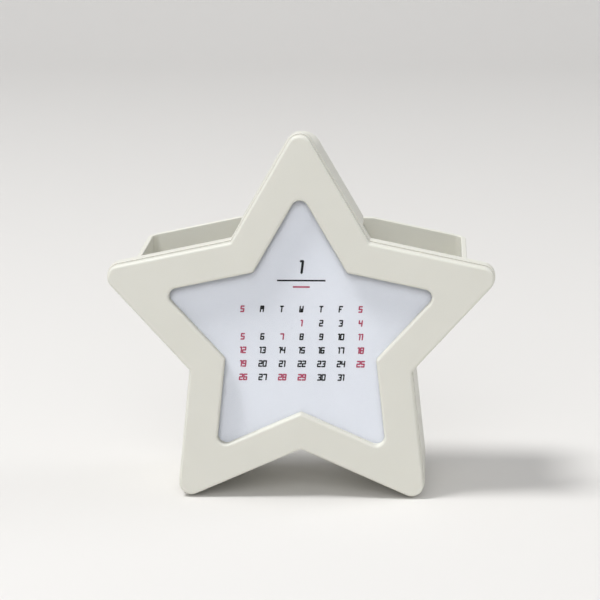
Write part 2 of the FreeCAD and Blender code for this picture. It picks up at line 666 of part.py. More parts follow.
# ---- Build ----
os.makedirs("parts", exist_ok=True)
save("front_bezel", front_bezel())
save("window_sheet", window_sheet())
save("month_card", month_card())
save("spare_month_cards", spare_month_cards())
save("bezel_magnets", magnets(Y_SEAM - MAGNET_RECESS - MAGNET_THICKNESS))
save("plate_magnets", magnets(Y_SEAM + MAGNET_RECESS))
save("star_plate", star_plate())
save("arm_back_cover", arm_back_cover())
save("arm_cover_screw", arm_cover_screw())
save("rear_body", rear_body())
save("body_screws", body_screws())
save("compartment_floor", compartment_floor())
save("left_divider", divider(-1))
save("right_divider", divider(1))
save("drawer_box", drawer_box())
save("drawer_front", drawer_front())
save("drawer_rail_left", drawer_rail(-1))
save("drawer_rail_right", drawer_rail(1))
save("drawer_stop", drawer_stop())
for pad_name, (pad_x, pad_y) in zip(PAD_NAMES, PAD_PLACES):
    save(pad_name, pad_block(pad_x, pad_y, 0))
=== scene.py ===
# %% [markdown]
# # A star-shaped desk calendar
# The real object is a small desk piece in ivory plastic. A star frame pulls off its magnets, behind it lie
# a clear sheet and a pack of printed cards, and a hollow body at the back holds pens and a little drawer.
# The construction model is already packed as a frame of exact parts. This lesson loads it, keeps the
# parts whose shape is right, models again in mesh code those that need finer edges, and gives each
# surface a finish that starts from what the real material is.

# %% Load the frame
import json
import math
from collections import namedtuple

import bmesh
import bpy
from mathutils import Matrix, Vector


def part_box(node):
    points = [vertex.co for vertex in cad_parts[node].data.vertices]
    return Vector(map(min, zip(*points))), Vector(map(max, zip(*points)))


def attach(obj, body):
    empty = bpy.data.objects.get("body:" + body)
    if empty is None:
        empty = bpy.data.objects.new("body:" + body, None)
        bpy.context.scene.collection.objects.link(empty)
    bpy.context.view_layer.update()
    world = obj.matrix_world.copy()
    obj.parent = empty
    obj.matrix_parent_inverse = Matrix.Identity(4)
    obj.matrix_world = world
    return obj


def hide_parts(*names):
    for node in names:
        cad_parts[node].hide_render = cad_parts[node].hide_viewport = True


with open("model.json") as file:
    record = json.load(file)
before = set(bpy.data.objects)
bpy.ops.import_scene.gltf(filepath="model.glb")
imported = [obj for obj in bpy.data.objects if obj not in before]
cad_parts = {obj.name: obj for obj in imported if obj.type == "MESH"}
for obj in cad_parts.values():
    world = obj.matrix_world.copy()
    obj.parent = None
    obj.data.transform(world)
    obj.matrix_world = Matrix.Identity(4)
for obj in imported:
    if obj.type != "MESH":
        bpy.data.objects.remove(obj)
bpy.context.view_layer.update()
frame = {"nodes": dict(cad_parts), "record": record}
nodes = frame["nodes"]

# %% [markdown]
# ## Sizes
# A maker thinks in millimetres and Blender works in metres, so each size of the calendar is written in
# millimetres and multiplied once. The depths are not typed again: they are read from the frame, because
# a part that is modelled anew has to sit exactly where the part it stands for sits.

# %% Millimetres and the depths of the layers
MM = 0.001
FACE_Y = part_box("front_bezel")[0].y
SEAM_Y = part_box("front_bezel")[1].y
SHEET_FRONT_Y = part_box("window_sheet")[0].y
CARD_FRONT_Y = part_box("month_card")[0].y
layers = {"face": FACE_Y, "sheet": SHEET_FRONT_Y, "card": CARD_FRONT_Y, "seam": SEAM_Y}
for layer, depth in layers.items():
    print(layer, "at", round(depth / MM, 2), "mm")

# %% [markdown]
# ## The star outline
# Five arms and five notches alternate round a circle. All ten sides lie at the same distance from the
# middle, so a side moved inwards by any amount gives the same star, only smaller. That is why one
# function can make every row of points that the frame, the clear sheet and their soft edges need.

# %% Driving sizes of the star
ARMS = 5
STAR_RADIUS = 89.5 * MM
NOTCH_RADIUS = 48.9 * MM
TIP_ROUND = 5.5 * MM
NOTCH_ROUND = 0.8 * MM
STEP = math.pi / ARMS
SIDE_LENGTH = math.sqrt(STAR_RADIUS**2 + NOTCH_RADIUS**2 - 2 * STAR_RADIUS * NOTCH_RADIUS * math.cos(STEP))
SIDE_DISTANCE = STAR_RADIUS * NOTCH_RADIUS * math.sin(STEP) / SIDE_LENGTH
HALF_TIP = math.asin(SIDE_DISTANCE / STAR_RADIUS)
HALF_NOTCH = HALF_TIP + STEP
STAR_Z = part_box("star_plate")[1].z - STAR_RADIUS + TIP_ROUND / math.sin(HALF_TIP) - TIP_ROUND
print("star middle at", round(STAR_Z / MM, 2), "mm")
print("each arm opens by", round(2 * math.degrees(HALF_TIP), 1), "degrees")

# %% One closed row of points round the star
CORNER_STEPS = 10
STRAIGHT_STEPS = 6


def corner_arc(index, inset, tip_round, notch_round):
    """Points (x, z) of the rounded corner with that index, counted clockwise from the top arm."""
    is_tip = index % 2 == 0
    direction = math.pi / 2 - index * STEP
    half = HALF_TIP if is_tip else HALF_NOTCH
    radius = tip_round if is_tip else notch_round
    sharp = (STAR_RADIUS if is_tip else NOTCH_RADIUS) * (1 - inset / SIDE_DISTANCE)
    reach = sharp - radius / math.sin(half) if is_tip else sharp + radius / math.sin(half)
    points = []
    for step in range(CORNER_STEPS + 1):
        turn = (2 * step / CORNER_STEPS - 1) * (math.pi / 2 - half)
        angle = direction - turn if is_tip else direction + math.pi + turn
        x = reach * math.cos(direction) + radius * math.cos(angle)
        z = reach * math.sin(direction) + radius * math.sin(angle)
        points.append((x, STAR_Z + z))
    return points


def star_row(inset, y, tip_round, notch_round):
    """The whole row at depth y, with a few extra points along each straight side."""
    arcs = [corner_arc(index, inset, tip_round, notch_round) for index in range(2 * ARMS)]
    row = []
    for arc, next_arc in zip(arcs, arcs[1:] + arcs[:1]):
        row += [Vector((x, y, z)) for x, z in arc]
        start = row[-1]
        end = Vector((next_arc[0][0], y, next_arc[0][1]))
        row += [start.lerp(end, step / STRAIGHT_STEPS) for step in range(1, STRAIGHT_STEPS)]
    return row


print("each row has", len(star_row(0, FACE_Y, TIP_ROUND, NOTCH_ROUND)), "points")

# %% [markdown]
# ## From rows to a skin
# A loft joins neighbouring rows with four-sided faces. It could be drawn by hand with edge loops, but
# rows from a formula stay even, and even quads are what keep highlights straight along a moulded edge.
# Shading is smooth everywhere except across edges that turn by more than the angle given here. Smooth
# shading alone would tilt a flat face towards the small faces of its rounded edge, so each corner's
# direction is weighed by the area of the faces around it, and the flats stay flat.

# %% Loft and finished object
SHARP_TURN = math.radians(35)


def keep_flats_flat(piece):
    weighing = piece.modifiers.new("weigh_by_area", "WEIGHTED_NORMAL")
    weighing.keep_sharp = True


def as_object(name, work):
    """Closes the bmesh, turns it into an object and shades it."""
    bmesh.ops.recalc_face_normals(work, faces=work.faces)
    mesh = bpy.data.meshes.new(name)
    work.to_mesh(mesh)
    work.free()
    mesh.shade_smooth()
    mesh.set_sharp_from_angle(angle=SHARP_TURN)
    made = bpy.data.objects.new(name, mesh)
    bpy.context.scene.collection.objects.link(made)
    keep_flats_flat(made)
    print("made", name, "with", len(mesh.polygons), "faces")
    return made


def skin(work, rows, closed):
    """Adds the quads between rows; a closed skin joins the last row to the first, an open one is capped."""
    rings = [[work.verts.new(point) for point in row] for row in rows]
    following = rings[1:] + rings[:1] if closed else rings[1:]
    for ring, next_ring in zip(rings, following):
        for side in range(len(ring)):
            after = (side + 1) % len(ring)
            work.faces.new((ring[side], ring[after], next_ring[after], next_ring[side]))
    if not closed:
        work.faces.new(rings[0])
        work.faces.new(rings[-1])


def loft(name, rows, closed=False):
    work = bmesh.new()
    skin(work, rows, closed)
    return as_object(name, work)


# %% [markdown]
# ## The star frame
# The real frame is one injection moulding with a soft edge all round the outside and round the window.
# Cut and bevel tools could make it from a flat star, but they crowd the notches with odd faces. Here the
# cross-section is walked once as (inset, depth) steps, and each step becomes one row of the loft.
# Tool makers round the notch less and the tip more as an outline grows, and the two helpers follow that.

# %% Cross-section sizes of the frame
BEZEL_INSET = 0.4 * MM
EDGE_ROUND = 1.2 * MM
SEAM_ROUND = 0.3 * MM
SEAM_GAP = 1.0 * MM
SEAM_STEP = 1.6 * MM
FRAME_WIDTH = 14.6 * MM
WINDOW_TIP_ROUND = 3.5 * MM
WINDOW_NOTCH_ROUND = 1.5 * MM
POCKET_INSET = 10.2 * MM
POCKET_TIP_ROUND = 4.0 * MM
BROKEN_EDGE = 0.15 * MM
ROUND_STEPS = 6


def outer_row(inset, y):
    return star_row(inset, y, TIP_ROUND - inset, NOTCH_ROUND + inset)


def window_row(inset, y):
    grown = FRAME_WIDTH - inset
    return star_row(inset, y, WINDOW_TIP_ROUND + grown, WINDOW_NOTCH_ROUND - grown)


def pocket_row(inset, y):
    return star_row(inset, y, POCKET_TIP_ROUND, NOTCH_ROUND)


def round_rows(make_row, inset, y, radius, start, end):
    """Rows along a quarter round about (inset, y), with angles in degrees from inwards towards the back."""
    rows = []
    for step in range(ROUND_STEPS + 1):
        angle = math.radians(start + (end - start) * step / ROUND_STEPS)
        rows.append(make_row(inset + radius * math.cos(angle), y + radius * math.sin(angle)))
    return rows


# %% Loft the frame
gap_y = SEAM_Y - SEAM_GAP
rows = [outer_row(BEZEL_INSET + SEAM_STEP, y) for y in (SEAM_Y, gap_y)]
rows += round_rows(outer_row, BEZEL_INSET + SEAM_ROUND, gap_y - SEAM_ROUND, SEAM_ROUND, 90, 180)
rows += round_rows(outer_row, BEZEL_INSET + EDGE_ROUND, FACE_Y + EDGE_ROUND, EDGE_ROUND, 180, 270)
rows += round_rows(window_row, FRAME_WIDTH - EDGE_ROUND, FACE_Y + EDGE_ROUND, EDGE_ROUND, 270, 360)
rows += [
    window_row(FRAME_WIDTH, SHEET_FRONT_Y - BROKEN_EDGE),
    window_row(FRAME_WIDTH - BROKEN_EDGE, SHEET_FRONT_Y),
    pocket_row(POCKET_INSET, SHEET_FRONT_Y),
    pocket_row(POCKET_INSET, SEAM_Y - BROKEN_EDGE),
    pocket_row(POCKET_INSET - BROKEN_EDGE, SEAM_Y),
]
star_frame = loft("star_frame_moulding", rows, closed=True)

# %% [markdown]
# ## Seats for magnets and pegs
# Five round seats for the magnets and three holes for the locating pegs are sunk into the back of the
# frame. On the real tool they are core pins; in the mesh a Boolean does the same job, with turned pins
# as cutters. A turned shape is a short outline spun about the depth axis, so one helper makes the pins
# here and, later, the magnets and the screws.

# %% Turned pieces
TURN_STEPS = 40


def turned_rows(profile, x, z):
    """Rows of (radius, y) steps spun about an axis along the depth through (x, z)."""
    rows = []
    for radius, y in profile:
        row = []
        for step in range(TURN_STEPS):
            angle = 2 * math.pi * step / TURN_STEPS
            row.append(Vector((x + radius * math.cos(angle), y, z + radius * math.sin(angle))))
        rows.append(row)
    return rows


def turned(name, profile, places):
    work = bmesh.new()
    for x, z in places:
        skin(work, turned_rows(profile, x, z), closed=False)
    return as_object(name, work)


def on_star(radius, degrees):
    angle = math.radians(degrees)
    return radius * math.cos(angle), STAR_Z + radius * math.sin(angle)


def cut_away(piece, cutter):
    """Subtracts the cutter from the piece for good and removes the cutter."""
    piece.modifiers.clear()
    cutter.modifiers.clear()
    modifier = piece.modifiers.new("cut", "BOOLEAN")
    modifier.object = cutter
    modifier.solver = "EXACT"
    shaped = bpy.data.meshes.new_from_object(piece.evaluated_get(bpy.context.evaluated_depsgraph_get()))
    piece.modifiers.clear()
    piece.data = shaped
    piece.data.name = piece.name
    bpy.data.objects.remove(cutter)
    keep_flats_flat(piece)
    print("cut", piece.name, "which now has", len(shaped.polygons), "faces")


# %% Sink the seats
MAGNET_CIRCLE = 77.0 * MM
MAGNET_SEAT_RADIUS = 3.1 * MM
MAGNET_SEAT_DEPTH = 1.6 * MM
PEG_CIRCLE = 43.3 * MM
PEG_HOLE_RADIUS = 1.6 * MM
PEG_HOLE_DEPTH = 2.5 * MM
PEG_ANGLES = (54, 126, 270)
OVERCUT = 1.0 * MM
MAGNET_PLACES = [on_star(MAGNET_CIRCLE, 90 - 360 / ARMS * index) for index in range(ARMS)]
PEG_PLACES = [on_star(PEG_CIRCLE, degrees) for degrees in PEG_ANGLES]

pin = [(MAGNET_SEAT_RADIUS, SEAM_Y - MAGNET_SEAT_DEPTH), (MAGNET_SEAT_RADIUS, SEAM_Y + OVERCUT)]
cut_away(star_frame, turned("magnet_seat_pins", pin, MAGNET_PLACES))
pin = [(PEG_HOLE_RADIUS, SEAM_Y - PEG_HOLE_DEPTH), (PEG_HOLE_RADIUS, SEAM_Y + OVERCUT)]
cut_away(star_frame, turned("peg_hole_pins", pin, PEG_PLACES))
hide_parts("front_bezel")
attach(star_frame, "bezel")

# %% [markdown]
# ## The clear sheet
# A die-cut sheet of clear PET lies in the frame's pocket. A die leaves a tiny burr that is broken off,
# so its edges are softened by a tenth or two of a millimetre. The print stands a few hundredths of a
# millimetre proud of the card, so the sheet stops just short of it.

# %% Loft the clear sheet
SHEET_INSET = 10.6 * MM
PRINT_ROOM = 0.06 * MM
LIP_GAP = 0.02 * MM
front = SHEET_FRONT_Y + LIP_GAP
back = CARD_FRONT_Y - PRINT_ROOM
clear_sheet = loft("clear_window_sheet", [
    pocket_row(SHEET_INSET + BROKEN_EDGE, front),
    pocket_row(SHEET_INSET, front + BROKEN_EDGE),
    pocket_row(SHEET_INSET, back - BROKEN_EDGE),
    pocket_row(SHEET_INSET + BROKEN_EDGE, back),
])
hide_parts("window_sheet")
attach(clear_sheet, "bezel")

# %% [markdown]
# ## Printed numbers
# The card carries a plain month grid in two inks. Fonts differ from one computer to the next, so the
# characters are drawn here on five by five cells, where outer cells and the middle ones are as wide as
# a stroke and the cells between take up the rest. The figure one needs only two columns: a short one
# for its flag and a stroke for its stem. Inked cells share their corners, so each character is one
# clean island of faces. Its outer corners are rounded, and it leans a little to the right.

# %% Characters on five by five cells
CHARACTERS = {
    "0": "##### #...# #...# #...# #####",
    "1": "## .# .# .# .#",
    "2": "##### ....# ##### #.... #####",
    "3": "##### ....# .#### ....# #####",
    "4": "#...# #...# ##### ....# ....#",
    "5": "##### #.... ##### ....# #####",
    "6": "##### #.... ##### #...# #####",
    "7": "##### ....# ....# ....# ....#",
    "8": "##### #...# ##### #...# #####",
    "9": "##### #...# ##### ....# #####",
    "S": "##### #.... ##### ....# #####",
    "M": "##### #.#.# #.#.# #...# #...#",
    "T": "##### ..#.. ..#.. ..#.. ..#..",
    "W": "#...# #...# #.#.# #.#.# #####",
    "F": "##### #.... ####. #.... #....",
}
CELL_ROWS = 5
NARROW_COLUMNS = 2
SLANT = 0.12
CORNER_SHARE = 0.3
FLAG_SHARE = 0.85
INK_THICKNESS = 0.02 * MM
Type = namedtuple("Type", "width height stem bar spacing")


def cell_lines(length, stroke, cells):
    """The lines that bound the cells along one direction."""
    gap = (length - 3 * stroke) / 2
    steps = (stroke, gap, stroke, gap, stroke)
    if cells == NARROW_COLUMNS:
        steps = (stroke * FLAG_SHARE, stroke)
    lines = [0.0]
    for step in steps:
        lines.append(lines[-1] + step)
    return lines


def draw_character(work, rows, columns, levels, left, bottom):
    """Adds one character's inked cells to the bmesh, flat on the card."""
    corners = {}
    for row, cells in enumerate(reversed(rows)):
        for column, cell in enumerate(cells):
            if cell != "#":
                continue
            around = [(column, row), (column + 1, row), (column + 1, row + 1), (column, row + 1)]
            for place in around:
                if place not in corners:
                    x = left + columns[place[0]] + SLANT * (levels[place[1]] - levels[-1] / 2)
                    corners[place] = work.verts.new((x, CARD_FRONT_Y, bottom + levels[place[1]]))
            work.faces.new([corners[place] for place in around])
    outer = [vertex for vertex in corners.values() if len(vertex.link_faces) == 1]
    radius = CORNER_SHARE * (columns[-1] - columns[-2])
    bmesh.ops.bevel(work, geom=outer, offset=radius, segments=2, affect="VERTICES")


def draw_text(work, text, middle, bottom, kind):
    """Adds the characters of the text side by side, centred on middle."""
    levels = cell_lines(kind.height, kind.bar, CELL_ROWS)
    drawn = []
    for character in text:
        rows = CHARACTERS[character].split()
        drawn.append((rows, cell_lines(kind.width, kind.stem, len(rows[0]))))
    total = sum(columns[-1] for _, columns in drawn) + (len(text) - 1) * kind.spacing
    left = middle - total / 2
    for rows, columns in drawn:
        draw_character(work, rows, columns, levels, left, bottom)
        left += columns[-1] + kind.spacing


# %% [markdown]
# ## The month grid
# Seven columns and five weeks share the lower part of the star. The month's own number stands above,
# over two short rules. Red marks the first and last column, four holidays and the lower rule.
# Each ink is one thin piece: the flat faces are pushed up by two hundredths of a millimetre, thicker
# than a real film of ink, so that it stands clear of the card.

# %% Sizes of the grid
COLUMN_PITCH = 8.15 * MM
ROW_PITCH = 5.78 * MM
GRID_MIDDLE = 0.32 * MM
FIRST_WEEK_Z = STAR_Z + 3.2 * MM
WEEKDAY_Z = STAR_Z + 9.15 * MM
SMALL_TYPE = Type(1.74 * MM, 2.9 * MM, 0.57 * MM, 0.64 * MM, 0.03 * MM)
MONTH_Z = STAR_Z + 25.4 * MM
MONTH_TYPE = Type(4.0 * MM, 5.9 * MM, 1.05 * MM, 0.95 * MM, 0.1 * MM)
RULE_HEIGHT = 0.7 * MM
BLACK_RULE = (20.0 * MM, STAR_Z + 22.3 * MM)
RED_RULE = (7.0 * MM, STAR_Z + 19.6 * MM)
WEEKDAYS = "SMTWTFS"
FIRST_DAY_COLUMN = 3
DAYS = 31
HOLIDAYS = (1, 7, 28, 29)
MONTH_NUMBER = "1"

# %% Draw both inks
inks = {"black": bmesh.new(), "red": bmesh.new()}


def column_ink(column):
    return inks["red"] if column in (0, len(WEEKDAYS) - 1) else inks["black"]


def column_middle(column):
    return GRID_MIDDLE + (column - (len(WEEKDAYS) - 1) / 2) * COLUMN_PITCH


def draw_rule(work, length, bottom):
    left, right = GRID_MIDDLE - length / 2, GRID_MIDDLE + length / 2
    top = bottom + RULE_HEIGHT
    points = [(left, bottom), (right, bottom), (right, top), (left, top)]
    work.faces.new([work.verts.new((x, CARD_FRONT_Y, z)) for x, z in points])


for column, initial in enumerate(WEEKDAYS):
    draw_text(column_ink(column), initial, column_middle(column), WEEKDAY_Z, SMALL_TYPE)
for day in range(1, DAYS + 1):
    week, column = divmod(day - 1 + FIRST_DAY_COLUMN, len(WEEKDAYS))
    work = inks["red"] if day in HOLIDAYS else column_ink(column)
    draw_text(work, str(day), column_middle(column), FIRST_WEEK_Z - week * ROW_PITCH, SMALL_TYPE)
draw_text(inks["black"], MONTH_NUMBER, GRID_MIDDLE, MONTH_Z, MONTH_TYPE)
draw_rule(inks["black"], *BLACK_RULE)
draw_rule(inks["red"], *RED_RULE)

# %% Give each ink its thickness
prints = {}
for colour, work in inks.items():
    flat = list(work.faces)
    raised = bmesh.ops.extrude_face_region(work, geom=flat, use_keep_orig=True)["geom"]
    for part in raised:
        if isinstance(part, bmesh.types.BMVert):
            part.co.y -= INK_THICKNESS
    prints[colour] = as_object("month_print_" + colour, work)
    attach(prints[colour], "card_pack")

# %% [markdown]
# ## Magnets and screws
# Disc magnets are sintered, ground and nickel plated, and their rims are rounded so the plating doesn't
# chip. The screws are small countersunk ones with a cross recess. Both are turned shapes, and only the
# cross needs a cutter: two thin tapering blades.

# %% Magnets
MAGNET_RADIUS = 3.0 * MM
MAGNET_RIM = 0.25 * MM
RIM_STEPS = 4


def disc_profile(radius, low_y, high_y, rim):
    """(radius, y) steps of a disc with both rims rounded."""
    profile = []
    for step in range(RIM_STEPS + 1):
        angle = math.pi / 2 * step / RIM_STEPS
        profile.append((radius - rim + rim * math.sin(angle), low_y + rim - rim * math.cos(angle)))
    for step in range(RIM_STEPS + 1):
        angle = math.pi / 2 * step / RIM_STEPS
        profile.append((radius - rim + rim * math.cos(angle), high_y - rim + rim * math.sin(angle)))
    return profile


magnets = []
for body, node in (("bezel", "bezel_magnets"), ("stand", "plate_magnets")):
    low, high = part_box(node)
    profile = disc_profile(MAGNET_RADIUS, low.y, high.y, MAGNET_RIM)
    discs = turned(node + "_plated", profile, MAGNET_PLACES)
    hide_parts(node)
    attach(discs, body)
    magnets.append(discs)

# %% Screws
HEAD_RADIUS = 2.4 * MM
SHANK_RADIUS = 1.2 * MM
HEAD_HEIGHT = 1.3 * MM
HEAD_RIM = 0.15 * MM
POINT_LENGTH = 1.2 * MM
POINT_RADIUS = SHANK_RADIUS / 3
BLADE_LENGTH = 2.6 * MM
BLADE_WIDTH = 0.55 * MM
BLADE_DEPTH = 0.8 * MM
BLADE_TAPER = 0.45


def blade(work, x, z, head_y, into, half_x, half_z):
    """A thin wedge, full size above the head and narrower at the bottom of the recess."""
    rows = []
    above, below = head_y - into * BLADE_DEPTH, head_y + into * BLADE_DEPTH
    for y, share in ((above, 1.0), (head_y, 1.0), (below, BLADE_TAPER)):
        corners = [(-1, -1), (1, -1), (1, 1), (-1, 1)]
        rows.append([Vector((x + a * half_x * share, y, z + b * half_z * share)) for a, b in corners])
    skin(work, rows, closed=False)


def screws(name, node, places, into):
    """Screws whose heads lie at the near end of the node; into is +1 when they point to the back."""
    low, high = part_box(node)
    head_y, point_y = (low.y, high.y) if into > 0 else (high.y, low.y)
    made = turned(name, [
        (HEAD_RADIUS - HEAD_RIM, head_y),
        (HEAD_RADIUS, head_y + into * HEAD_RIM),
        (SHANK_RADIUS, head_y + into * HEAD_HEIGHT),
        (SHANK_RADIUS, point_y - into * POINT_LENGTH),
        (POINT_RADIUS, point_y),
    ], places)
    for half_x, half_z in ((BLADE_LENGTH / 2, BLADE_WIDTH / 2), (BLADE_WIDTH / 2, BLADE_LENGTH / 2)):
        work = bmesh.new()
        for x, z in places:
            blade(work, x, z, head_y, into, half_x, half_z)
        cut_away(made, as_object("driver_blades", work))
    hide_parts(node)
    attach(made, "stand")
    return made


low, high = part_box("body_screws")
UPPER_SCREW_X = high.x - HEAD_RADIUS
UPPER_SCREW_Z = high.z - HEAD_RADIUS
LOWER_SCREW_Z = low.z + HEAD_RADIUS
lower_half = [vertex.co for vertex in nodes["body_screws"].data.vertices if vertex.co.z < STAR_Z]
LOWER_SCREW_X = max(point.x for point in lower_half) - HEAD_RADIUS
print("lower screws at", round(LOWER_SCREW_X / MM, 2), "mm from the middle")
wall_places = []
for side in (-1, 1):
    wall_places += [(side * UPPER_SCREW_X, UPPER_SCREW_Z), (side * LOWER_SCREW_X, LOWER_SCREW_Z)]
wall_screws = screws("wall_screws", "body_screws", wall_places, 1)
low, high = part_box("arm_cover_screw")
cover_screw = screws("cover_screw", "arm_cover_screw", [(0, (low.z + high.z) / 2)], -1)

# %% [markdown]
# ## Dividers and foot pads
# Two thin walls split the pen space, and four rubber pads sit in the feet. Plain boxes would catch no
# light along their edges, so each is a box whose edges are bevelled in the mesh. A divider's upper
# corner at the back is rounded more, and each pad has a shallow dish underneath so that it grips.

# %% Softened blocks
DIVIDER_CORNER = 3.0 * MM
CORNER_SEGMENTS = 8
DIVIDER_EDGE = 0.35 * MM
EDGE_SEGMENTS = 3
PAD_EDGE = 0.3 * MM
PAD_RIM = 0.7 * MM
PAD_DISH = 0.25 * MM


def box_mesh(low, high):
    work = bmesh.new()
    bmesh.ops.create_cube(work, size=1)
    for vertex in work.verts:
        for axis in range(3):
            vertex.co[axis] = high[axis] if vertex.co[axis] > 0 else low[axis]
    return work


def soften(work, edges, radius, segments):
    bmesh.ops.bevel(work, geom=edges, offset=radius, segments=segments, profile=0.5, affect="EDGES")


def turned_edges(work):
    """Edges where the surface turns sharply."""
    return [edge for edge in work.edges if edge.calc_face_angle(0) > SHARP_TURN]


# %% Dividers
dividers = []
for name in ("left_divider", "right_divider"):
    low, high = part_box(name)
    work = box_mesh(low, high)
    corner = []
    for edge in work.edges:
        if all(vertex.co.y == high.y and vertex.co.z == high.z for vertex in edge.verts):
            corner.append(edge)
    soften(work, corner, DIVIDER_CORNER, CORNER_SEGMENTS)
    soften(work, turned_edges(work), DIVIDER_EDGE, EDGE_SEGMENTS)
    panel = as_object(name + "_panel", work)
    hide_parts(name)
    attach(panel, "stand")
    dividers.append(panel)

# %% Foot pads
pads = []
for name in sorted(nodes):
    if not name.startswith("foot_pad"):
        continue
    low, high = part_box(name)
    work = box_mesh(low, high)
    under = min(work.faces, key=lambda face: face.calc_center_median().z)
    rim = [edge for edge in work.edges if edge not in list(under.edges)]
    bmesh.ops.inset_individual(work, faces=[under], thickness=PAD_RIM)
    bmesh.ops.inset_individual(work, faces=[under], thickness=PAD_EDGE)
    for vertex in under.verts:
        vertex.co.z += PAD_DISH
    soften(work, rim, PAD_EDGE, EDGE_SEGMENTS)
    pad = as_object(name + "_rubber", work)
    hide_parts(name)
    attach(pad, "stand")
    pads.append(pad)

# %% [markdown]
# # Finishes
# Colours are written as the sRGB hex values a designer would pick, and one function turns them into the
# linear numbers that the renderer mixes. A second small function adds a shader node with its settings
# and its links, which keeps each material below readable as a recipe.

# %% Colour and node helpers
def linear(hex_colour):
    """Linear RGBA of an sRGB colour written as #RRGGBB."""
    values = []
    for start in (1, 3, 5):
        value = int(hex_colour[start:start + 2], 16) / 255
        values.append(value / 12.92 if value <= 0.04045 else ((value + 0.055) / 1.055) ** 2.4)
    return (*values, 1.0)


def add_node(material, kind, inputs=None, **settings):
    """Adds a node; an input is either a constant or the output socket that feeds it."""
    node = material.node_tree.nodes.new(kind)
    for name, value in settings.items():
        setattr(node, name, value)
    for name, value in (inputs or {}).items():
        if isinstance(value, bpy.types.NodeSocket):
            material.node_tree.links.new(value, node.inputs[name])
        else:
            node.inputs[name].default_value = value
    return node


def new_material(name):
    """A material with an empty tree, and the coordinates of the mould it came from."""
    material = bpy.data.materials.new(name)
    material.use_nodes = True
    material.node_tree.nodes.clear()
    place = add_node(material, "ShaderNodeTexCoord").outputs["Object"]
    return material, place


def finish_with(material, shader):
    add_node(material, "ShaderNodeOutputMaterial", {"Surface": shader})
    print("finish", material.name, "with", len(material.node_tree.nodes), "nodes")
    return material


def per_metre(size):
    """Noise scale at which one feature is about as wide as size."""
    return 1 / size


# The Mix node has sockets of the same name for numbers, vectors and colours; these are the colour ones.
MIX_FACTOR = 0
MIX_A = 6
MIX_B = 7
MIXED = 2


# %% [markdown]
# ## Ivory ABS, injection moulded, spark-textured
# ABS is a dense styrene plastic with an index near 1.54. A spark-eroded tool leaves a satin grain of
# about a quarter of a millimetre, which breaks highlights into a soft glow; it is too fine to see in the
# render, so it is drawn twice as coarse. Flow from the gate leaves cloudy patches a few centimetres
# wide. The edges are painted lighter, partly as wear from hands and partly as a painted highlight, and
# the inner corners of each piece are painted darker, partly as dust and partly as painted shade.

# %% Ivory ABS
ABS_LIGHT = "#DFDED5"
ABS_DEEP = "#D9D8CE"
# Lighter colour for the edges: partly wear from hands, partly a painted highlight.
ABS_RUBBED_AND_HIGHLIT = "#EDEAE2"
# Darker colour for the inner corners: partly dust, partly painted shade.
ABS_DUST_AND_SHADE = "#C9C3B4"
FLOW_PATCH = 28 * MM
SPARK_GRAIN = 0.5 * MM
GRAIN_HEIGHT = 0.012 * MM
RUBBED_AND_HIGHLIT_WIDTH = 0.7 * MM
DUST_AND_SHADE_REACH = 3.5 * MM
ABS_SCATTER = 1.2 * MM


def moulded_abs():
    material, place = new_material("ivory_abs_moulded_satin")
    flow = add_node(material, "ShaderNodeTexNoise", {
        "Vector": place, "Scale": per_metre(FLOW_PATCH), "Detail": 2.0})
    grain = add_node(material, "ShaderNodeTexNoise", {
        "Vector": place, "Scale": per_metre(SPARK_GRAIN), "Detail": 3.0})
    bevelled = add_node(material, "ShaderNodeBevel", {"Radius": RUBBED_AND_HIGHLIT_WIDTH}, samples=6)
    flat = add_node(material, "ShaderNodeNewGeometry").outputs["Normal"]
    alike = add_node(material, "ShaderNodeVectorMath", {
        0: bevelled.outputs["Normal"], 1: flat}, operation="DOT_PRODUCT")
    # Painted highlight: the colour turns lighter near the edges, partly standing for wear from hands.
    rubbed_and_highlit = add_node(material, "ShaderNodeMapRange", {
        "Value": alike.outputs["Value"], "From Min": 0.99, "From Max": 0.85, "To Min": 0.0, "To Max": 0.7})
    # Painted shade: the colour turns darker where the piece's own walls close round a point, partly
    # standing for dust.
    open_air = add_node(material, "ShaderNodeAmbientOcclusion", {
        "Distance": DUST_AND_SHADE_REACH}, samples=8, only_local=True)
    dust_and_shade = add_node(material, "ShaderNodeMapRange", {
        "Value": open_air.outputs["AO"], "From Min": 0.5, "From Max": 0.15, "To Min": 0.0, "To Max": 0.5})
    clouded = add_node(material, "ShaderNodeMix", {
        MIX_FACTOR: flow.outputs["Fac"],
        MIX_A: linear(ABS_LIGHT), MIX_B: linear(ABS_DEEP)}, data_type="RGBA")
    polished_and_highlit = add_node(material, "ShaderNodeMix", {
        MIX_FACTOR: rubbed_and_highlit.outputs["Result"],
        MIX_A: clouded.outputs[MIXED], MIX_B: linear(ABS_RUBBED_AND_HIGHLIT)}, data_type="RGBA")
    coloured = add_node(material, "ShaderNodeMix", {
        MIX_FACTOR: dust_and_shade.outputs["Result"],
        MIX_A: polished_and_highlit.outputs[MIXED], MIX_B: linear(ABS_DUST_AND_SHADE)}, data_type="RGBA")
    rough = add_node(material, "ShaderNodeMapRange", {
        "Value": grain.outputs["Fac"], "From Min": 0.3, "From Max": 0.7, "To Min": 0.44, "To Max": 0.58})
    relief = add_node(material, "ShaderNodeBump", {
        "Height": grain.outputs["Fac"], "Distance": GRAIN_HEIGHT, "Strength": 0.6})
    shader = add_node(material, "ShaderNodeBsdfPrincipled", {
        "Base Color": coloured.outputs[MIXED], "Roughness": rough.outputs["Result"],
        "Normal": relief.outputs["Normal"], "IOR": 1.54, "Subsurface Weight": 0.06,
        "Subsurface Scale": ABS_SCATTER, "Subsurface Radius": (1.0, 0.85, 0.65)})
    return finish_with(material, shader.outputs["BSDF"])


ivory_abs = moulded_abs()

